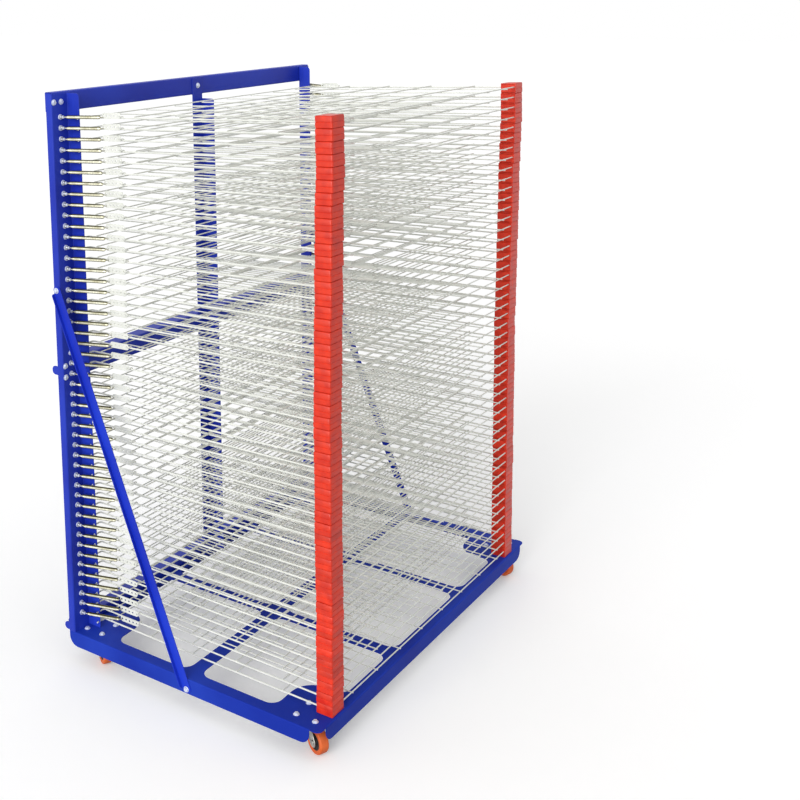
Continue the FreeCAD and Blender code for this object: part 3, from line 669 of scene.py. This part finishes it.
def spring(side, n):
    """The spring of shelf n on one side of the rack."""
    level = pivot_z(n) + SCREW_LIFT
    screw_end = np.array([side * SCREW_X, SCREW_Y, level])
    tab_end = np.array([side * TAB_X, TAB_Y, level - tab_drop(n)])
    ahead = (tab_end - screw_end) / np.linalg.norm(tab_end - screw_end)
    start, stop = screw_end + ahead * COIL_FROM, tab_end - ahead * COIL_TO
    count = 2 * RIDGES + 1
    share = np.linspace(0, 1, count)
    sizes = RIDGE - GROOVE * (np.arange(count) % 2)
    sizes[:5] = 1.2, 2, 2.6, 3.2, 3.8
    sizes[-3:] = 4.2, 3.6, 2.4
    coil = wire(start + share[:, None] * (stop - start), sizes, 10)
    # a loop round the screw's shank, crossed by its own end
    turns = np.linspace(-0.6, 1.5, 16) * math.pi
    loop = [screw_end + LOOP * np.array([math.cos(t) * -side, 0.12 * t, math.sin(t)]) for t in turns]
    hook = wire([start, start * 0.5 + loop[0] * 0.5] + loop, HOOK, 6)
    inwards = np.array([-side, 0, 0])
    far = tab_end + inwards * 5
    latch = wire(bend([stop, tab_end, far, far + (0, 5, 0)], 1.4, 3), HOOK, 6)
    return [coil, hook, latch]


print("a spring is made of", len(spring(1, SHELVES)), "wires")

# %% Hang the springs
HINGED_FROM = 17     # the shelves below this one are fixed in the rack
lower_springs = [part for n in range(2, HINGED_FROM) for side in (-1, 1) for part in spring(side, n)]
piece("lower_springs", lower_springs, SPRING_WIRE, "rack", ["shelf_springs"])
for n in range(HINGED_FROM, SHELVES + 1):
    both = [part for side in (-1, 1) for part in spring(side, n)]
    pair = piece(f"springs_{n}", both, SPRING_WIRE, None)
    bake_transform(pair)
print(2 * (SHELVES - 1), "springs")

# %% [markdown]
# ## Shelves
#
# A shelf is a grid of round wire. A heavier wire forms each side, and its end turns outward
# as the pin of the hinge. Thin wires run from front to back, and six more lie across them
# and carry the print, with a weld at each crossing. No two shelves are quite alike, so each
# sags a little and swings a little to one side, by amounts drawn from a seeded list.

# %% Wires of a shelf
FRAME_WIRE, GRID_WIRE = 1.95, 1.5     # radii
SHELF_X, PIN_X = 444, 469             # a side wire, and the end of its pin
NOSE = 664.7                          # from the pins forward to the ends of the wires
BACK_WIRE = 26                        # from the pins forward to the first wire across
LONG_PITCH = 104
SAG_X = 450                           # how far from the middle a sag reaches
CROSS_LEVEL, LONG_LEVEL = FRAME_WIRE + GRID_WIRE - 0.3, FRAME_WIRE - GRID_WIRE
LONG_X = [(n - 3.5) * LONG_PITCH for n in range(8)]
CROSS_Y = [-BACK_WIRE - n * (NOSE - GRID_WIRE - BACK_WIRE) / 5 for n in range(6)]


def sagged(points, sag, swing):
    """Points of a shelf with its sag, and swung to one side about its hinge."""
    points = np.array(points, float)
    x, y = points[:, 0] / SAG_X, -points[:, 1] / NOSE
    points[:, 2] -= sag * np.clip(1 - x * x, 0, 1) * np.clip(4 * y * (1 - y), 0, 1)
    points[:, 0] += swing * np.clip(y, 0, 1)
    return points


def shelf_wires(sag, swing):
    parts = []
    for side in (-1, 1):
        line = bend([(side * PIN_X, 0, 0), (side * SHELF_X, 0, 0), (side * SHELF_X, -NOSE, 0)], 5, 5)
        parts.append(wire(sagged(line, sag, swing), FRAME_WIRE, 10))
    for x in LONG_X:
        run = np.linspace((x, -NOSE, LONG_LEVEL), (x, -BACK_WIRE + GRID_WIRE, LONG_LEVEL), 8)
        parts.append(wire(sagged(run, sag, swing), GRID_WIRE, 8))
    for y in CROSS_Y:
        run = np.linspace((-SHELF_X - 2, y, CROSS_LEVEL), (SHELF_X + 2, y, CROSS_LEVEL), 10)
        parts.append(wire(sagged(run, sag, swing), GRID_WIRE, 8))
    return parts


print(len(shelf_wires(1, 0)), "wires in a shelf")

# %% Welds of a shelf
SIDE_WELD = 2.3     # the height of the welds on the side wires
bead_points, bead_faces = turned([(0.4, -1), (1.9, -0.5), (2.2, 0.1), (1.7, 0.7), (0.4, 1)], 6)


def shelf_welds(sag, swing):
    crossings = [(x, y, (CROSS_LEVEL + LONG_LEVEL) / 2) for x in LONG_X for y in CROSS_Y]
    crossings += [(side * SHELF_X, y, SIDE_WELD) for side in (-1, 1) for y in CROSS_Y]
    return [(bead_points + point, bead_faces) for point in sagged(crossings, sag, swing)]


print(len(shelf_welds(1, 0)), "welds on a shelf")

# %% Tabs
TAB_PLANE, TAB_GAUGE = 446.95, 1.5
HOOK_WIRE = 1.1     # radius
holes = [circle(-63.5 - 11.2 * n, 4.8, 2.3, 10) for n in range(5)]
tab = moved(blank([rectangle(-114, -2.2, -58, 11.8, 5.5, 5)] + holes, TAB_GAUGE, 0.25), UPRIGHT_YZ)


def tabs_of(n):
    """The tabs of shelf n, each with a hook at its front that goes round the side wire."""
    drop = tab_drop(n)
    path = [(446.9, -108.3, 4.8 - drop), (450.5, -108.3, 4.8 - drop), (450.5, -117, 5 - drop),
            (450.5, -118, 3.9), (444, -118, 3.9), (440.5, -118, 1), (441, -118, -3)]
    hook = wire(bend(path, 1.5, 4), HOOK_WIRE, 7)
    return [moved(shape, place) for place in (RIGHT_SIDE, LEFT_SIDE)
            for shape in (moved(tab, at(TAB_PLANE, 0, -drop)), hook)]


print("a tab has", len(holes), "holes")

# %% [markdown]
# ## Corner spacers
#
# A moulded block sits on each front corner of a shelf and keeps it off the next one. It is
# a hollow shell, open to the rear, with a hole towards the middle for the wire that comes
# in. A fine groove runs round the middle of every block, and its upper half is a hair
# smaller than its lower half. Rounded top and bottom edges make the deeper groove between
# one block and the next.

# %% One spacer
SPACER_HEIGHT, SPACER_WALL = 25.3, 2.5
SPACER_X, SPACER_Y = (405, 450), (-667.5, -627.5)     # from the rack's middle, and from the pins
END_PLATE, INNER_PLATE = 2.4, 2                       # thicknesses


def spacer():
    """The spacer on the right, about the pivot axis of its shelf."""
    (near, far), (front, rear) = SPACER_X, SPACER_Y
    half, thick = SPACER_HEIGHT / 2, SPACER_WALL
    wall = [(near, front), (far, front), (far, rear), (far - thick, rear), (far - thick, front + thick),
            (near, front + thick)]
    heights = [(-half, 1.7), (-half + 0.6, 0.7), (-half + 1.3, 0.02), (-1.2, 0), (-0.6, 0.9), (0.2, 0.9),
               (0.7, 0.15), (half - 1.7, 0.2), (half - 0.7, 0.9), (half, 1.9)]
    parts = [layered([ring_of(wall, [0, 3.5, 0, 0, 0.8, 0], 4)], heights)]
    for level, smaller in ((-half + 1.3, 1.2), (half - 1.3, 1.6)):
        outline = rectangle(near, front + smaller, far - smaller, rear, [1, 3, 1, 1], 4)
        parts.append(moved(blank([outline], END_PLATE, 0.3), at(z=level)))
    outline = rectangle(front + 0.5, 1 - half, rear, half - 1, 0.6, 2)
    hole = circle(CROSS_Y[-1], CROSS_LEVEL, GRID_WIRE + 0.5)
    parts.append(moved(blank([outline, hole], INNER_PLATE, 0.3), at(near + 1) @ UPRIGHT_YZ))
    return merged(parts)


spacers = [spacer(), moved(spacer(), LEFT_SIDE)]
print("a spacer has", len(spacers[0][0]), "points")

# %% [markdown]
# ## The stack
#
# The spacers stack up at half a millimetre more than the pitch of the pins, so a shelf leans
# back a little more than the one below it. The sixteen lowest shelves don't move here, and
# all but the bottom one of them are drawn together. From the seventeenth up each shelf rides
# on a body of its own, as wires with their tabs and as a pair of spacers.

# %% Hang the shelves
STACK_RISE, STACK_REACH = 0.5, 647.5     # what each shelf adds, that far forward of the pins
LEAN = (1, 25, 50), (-5, -9, 8)          # shelves, and how far the stacks lean to one side there
chance = random.Random(50)


def hung(shape, n):
    """A shape of a shelf, on the pins of shelf n and leaning with the stack."""
    lean = math.asin((n - 1) * STACK_RISE / STACK_REACH)
    return moved(shape, at(0, PIVOT_Y, pivot_z(n)) @ Matrix.Rotation(-lean, 4, "X"))


swing = 0
lower_wires, lower_corners, lower_tabs = [], [], []
for n in range(1, SHELVES + 1):
    sag = chance.uniform(0.2, 1.4)
    swing = 0.75 * swing + chance.uniform(-1.2, 1.2)
    aside = swing + float(np.interp(n, *LEAN))
    grid = [hung(shape, n) for shape in shelf_wires(sag, aside) + shelf_welds(sag, aside)]
    slack = [chance.uniform(-0.9, 0.9) for _ in range(4)]
    corners = [hung(moved(shape, at(aside + slack[k], slack[2 + k])), n) for k, shape in enumerate(spacers)]
    plates = [hung(shape, n) for shape in tabs_of(n)]
    if n == 1:
        piece("bottom_shelf_wires", grid, SHELF_PAINT, "rack", ["bottom_shelf"])
        piece("bottom_shelf_corners", corners, SPACER_PLASTIC, "rack")
    elif n < HINGED_FROM:
        lower_wires += grid
        lower_corners += corners
        lower_tabs += plates
    else:
        body = f"shelf_{n}"
        piece(f"wires_{n}", grid + plates, SHELF_PAINT, body, [body])
        piece(f"corners_{n}", corners, SPACER_PLASTIC, body)
piece("lower_wires", lower_wires, SHELF_PAINT, "rack", ["lower_shelf_grids"])
piece("lower_corners", lower_corners, SPACER_PLASTIC, "rack", ["lower_shelf_spacers"])
piece("lower_tabs", lower_tabs, SHELF_PAINT, "rack", ["lower_shelf_tabs"])
print(SHELVES, "shelves hang on the frame")

# %% [markdown]
# ## Castors
#
# Each castor has a plate bolted under the base, a ball race, a fork that swivels under it,
# and a wheel with an orange tyre on a black hub. The fork's legs slope back to the axle,
# which makes the wheel trail behind when the rack is pushed.

# %% Castor parts
WHEEL, TRAIL, CROWN = 28, 22, 66.6     # the wheel's radius, the axle's setback, the fork's top
CASTORS = {"front_left": (-1, 0, 247), "front_right": (1, 0, 255),
           "rear_left": (-1, 1, 240), "rear_right": (1, 1, 250)}     # side, row and swivel


def castor_mount():
    plate = moved(blank([rectangle(-33, -33, 33, 33, 6)], 3), at(z=76.5))
    race = turned([(AXIS, 75), (21, 75), (21, 73), (20, 71.5), (20.4, 70.5), (20.4, 68.5), (19, 67),
                   (AXIS, 67)], 32)
    return [plate, race]


def castor_fork():
    crown = turned([(AXIS, CROWN), (17, CROWN), (18.6, CROWN - 0.8), (19, CROWN - 2.5),
                    (AXIS, CROWN - 2.5)], 32)
    leg = [(-11, CROWN), (11, CROWN), (TRAIL + 11, WHEEL), (TRAIL + 5.5, WHEEL - 11),
           (TRAIL - 5.5, WHEEL - 11), (-11, CROWN - 11)]
    plate = blank([ring_of(leg, [4, 8, 11, 7, 7, 10], 5)], 2.5, ease=0.5)
    legs = [moved(plate, at(0, side * 13.25, 0) @ UPRIGHT_XZ) for side in (-1, 1)]
    axle_end = [(AXIS, -16.5), (4.6, -16.5), (5.2, -15.6), (5.2, -14.6), (4, -14.4)]
    axle = turned(mirrored(axle_end), 16)
    return [crown] + legs + [moved(axle, at(TRAIL, 0, WHEEL) @ FRONTWARDS)]


def tyre():
    half, shoulder = 11, 4
    turns = np.linspace(0, math.pi / 2, 5)
    tread = [(WHEEL - shoulder + shoulder * math.sin(t), half - shoulder + shoulder * math.cos(t))
             for t in turns]
    profile = mirrored([(19, half - 1)] + tread)
    return [turned(profile + [(18, -half + 2), (18, half - 2)], 40, closed=True)]


def hub():
    half = 9.5
    rim = [(4.2, half - 0.5), (4.4, half + 0.6), (8, half + 0.6), (9, half - 1.5), (15, half - 1.5),
           (16, half), (18.4, half)]
    return [turned(mirrored(rim), 40, closed=True)]


print("a fork has", len(castor_fork()), "parts")

# %% Place the castors
mounts = []
for name, (side, row, swivel) in CASTORS.items():
    centre = at(side * CASTOR_X, CASTOR_Y[row], 0)
    mounts += [moved(part, centre) for part in castor_mount()]
    swung = centre @ turn(swivel, "Z")
    on_axle = swung @ at(TRAIL, 0, WHEEL) @ FRONTWARDS
    piece(f"fork_{name}", [moved(part, swung) for part in castor_fork()], CASTOR_STEEL, f"castor_{name}",
          [f"castor_fork_{name}"])
    piece(f"tyre_{name}", [moved(part, on_axle) for part in tyre()], TYRE, f"wheel_{name}",
          [f"castor_wheel_{name}"])
    piece(f"hub_{name}", [moved(part, on_axle) for part in hub()], HUB, f"wheel_{name}")
piece("castor_mounts", mounts, CASTOR_STEEL, "rack", ["castor_plates"])
print(len(CASTORS), "castors")

# %% [markdown]
# ## Studio
#
# The rack stands on a white floor that runs out of sight. A broad soft lamp on the left
# lights the sides, and the pale room fills the rest, so the front stays darker.

# %% Rays and levels
def larger(tree, first, second):
    node = tree.nodes.new("ShaderNodeMath")
    node.operation = "MAXIMUM"
    tree.links.new(first, node.inputs[0])
    tree.links.new(second, node.inputs[1])
    return node.outputs["Value"]


def background_rays(tree):
    """1 where the background itself is seen, in a mirror or through glass too, otherwise 0."""
    kinds = tree.nodes.new("ShaderNodeLightPath").outputs
    indirectly = larger(tree, kinds["Is Glossy Ray"], kinds["Is Transmission Ray"])
    return larger(tree, kinds["Is Camera Ray"], indirectly)


def levelled(tree, share, low, high):
    """A share from 0 to 1 as a level between low and high."""
    level = tree.nodes.new("ShaderNodeMapRange")
    level.inputs["To Min"].default_value, level.inputs["To Max"].default_value = low, high
    tree.links.new(share, level.inputs["Value"])
    return level.outputs["Result"]


print("kinds of ray and levels ready")

# %% Floor
SEEN, THROWN_BACK = 0.98, 0.3     # how white it looks, and how much light it throws back
GLOW = 0.16                       # added only where it is seen


def studio_floor():
    reach = 30
    corners = [(-reach, -reach, 0), (reach, -reach, 0), (reach, reach, 0), (-reach, reach, 0)]
    mesh = bpy.data.meshes.new("studio_floor")
    mesh.from_pydata(corners, [], [(0, 1, 2, 3)])
    floor = bpy.data.objects.new("studio_floor", mesh)
    bpy.context.scene.collection.objects.link(floor)
    material = bpy.data.materials.new("floor")
    material.use_nodes = True
    tree = material.node_tree
    shader = tree.nodes["Principled BSDF"]
    shader.inputs["Roughness"].default_value = 1
    shader.inputs["Specular IOR Level"].default_value = 0
    shader.inputs["Emission Color"].default_value = (1, 1, 1, 1)
    # white to the eye and in reflections, and darker for the light that it throws back
    tone = tree.nodes.new("ShaderNodeMix")
    tone.data_type = "RGBA"
    tone.inputs["A"].default_value = (THROWN_BACK, THROWN_BACK, THROWN_BACK, 1)
    tone.inputs["B"].default_value = (SEEN, SEEN, SEEN, 1)
    tree.links.new(background_rays(tree), tone.inputs["Factor"])
    tree.links.new(tone.outputs["Result"], shader.inputs["Base Color"])
    tree.links.new(levelled(tree, background_rays(tree), 0, GLOW), shader.inputs["Emission Strength"])
    mesh.materials.append(material)


studio_floor()
print("floor laid")

# %% Lights
def sun(name, strength, direction, spread):
    lamp = bpy.data.lights.new(name, "SUN")
    lamp.energy, lamp.angle = strength, math.radians(spread)
    item = bpy.data.objects.new(name, lamp)
    item.rotation_euler = Vector(direction).to_track_quat("-Z", "Y").to_euler()
    bpy.context.scene.collection.objects.link(item)


sun("key", strength=2.6, direction=(0.95, 0.12, -0.26), spread=50)
world = bpy.data.worlds.new("room")
bpy.context.scene.world = world
world.use_nodes = True
tree = world.node_tree
room = tree.nodes["Background"]
room.inputs["Color"].default_value = (1, 1, 1, 1)
tree.links.new(levelled(tree, background_rays(tree), low=0.68, high=1), room.inputs["Strength"])
print("lamps:", [lamp.name for lamp in bpy.data.lights])

# %% [markdown]
# ## Camera
#
# The camera stands to the left of the rack, a little above its top, and looks slightly
# down. A shift of the lens frames the rack without tilting its upright lines further.

# %% Camera
def look(position, yaw, pitch, roll):
    """A camera's matrix from where it stands and how it is turned, in radians."""
    ahead = Vector((math.cos(pitch) * math.cos(yaw), math.cos(pitch) * math.sin(yaw), math.sin(pitch)))
    right = ahead.cross(Vector((0, 0, 1))).normalized()
    up = right.cross(ahead)
    c, s = math.cos(roll), math.sin(roll)
    right, up = c * right + s * up, -s * right + c * up
    return Matrix.Translation(position) @ Matrix((right, up, -ahead)).transposed().to_4x4()


camera = bpy.data.objects.new("camera", bpy.data.cameras.new("camera"))
bpy.context.scene.collection.objects.link(camera)
camera.data.sensor_width, camera.data.lens = 36, 53.26
camera.data.shift_x, camera.data.shift_y = 0.1457, -0.2731
camera.matrix_world = look(position=(-2.3678, -1.6035, 1.6064), yaw=0.614, pitch=-0.164, roll=-0.013)
bpy.context.scene.camera = camera
bpy.context.scene.view_settings.view_transform = "Standard"
print("camera at", tuple(round(v, 3) for v in camera.location))
